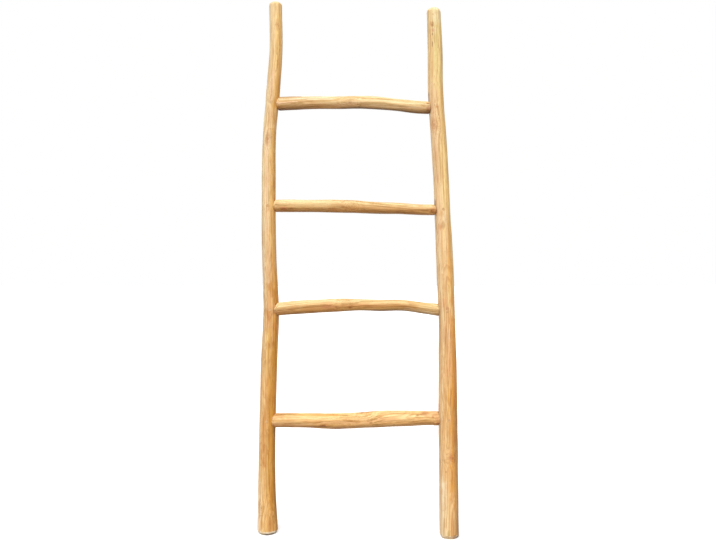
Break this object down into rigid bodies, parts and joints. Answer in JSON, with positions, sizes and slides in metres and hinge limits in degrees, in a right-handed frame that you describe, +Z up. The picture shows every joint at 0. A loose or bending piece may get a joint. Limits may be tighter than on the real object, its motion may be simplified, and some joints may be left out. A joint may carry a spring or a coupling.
{
  "type": "towel ladder",
  "caption": "Free-standing rustic towel ladder: two peeled branch rails joined by branch rungs, for hanging towels, quilts or cloth.",
  "frame": {"origin": "on the floor, midway between the two feet and midway through the ladder's depth", "axes": "+Z up along the rails, +X from the left rail to the right rail seen from the front, -Y out of the front"},
  "size_m": [0.5677, 0.0733, 1.503],
  "materials": {
    "rail_wood": "peeled branch, sanded smooth, satin",
    "rung_wood": "peeled branch, sanded smooth, satin",
    "pin_wood": "wooden pins, sanded flush"
  },
  "bodies": {
    "root": {"left_rail": "rail_wood", "right_rail": "rail_wood", "rung_1": "rung_wood", "rung_2": "rung_wood", "rung_3": "rung_wood", "rung_4": "rung_wood", "rung_1_left_pin": "pin_wood", "rung_1_right_pin": "pin_wood", "rung_2_left_pin": "pin_wood", "rung_2_right_pin": "pin_wood", "rung_3_left_pin": "pin_wood", "rung_3_right_pin": "pin_wood", "rung_4_left_pin": "pin_wood", "rung_4_right_pin": "pin_wood"}
  },
  "joints": []
}
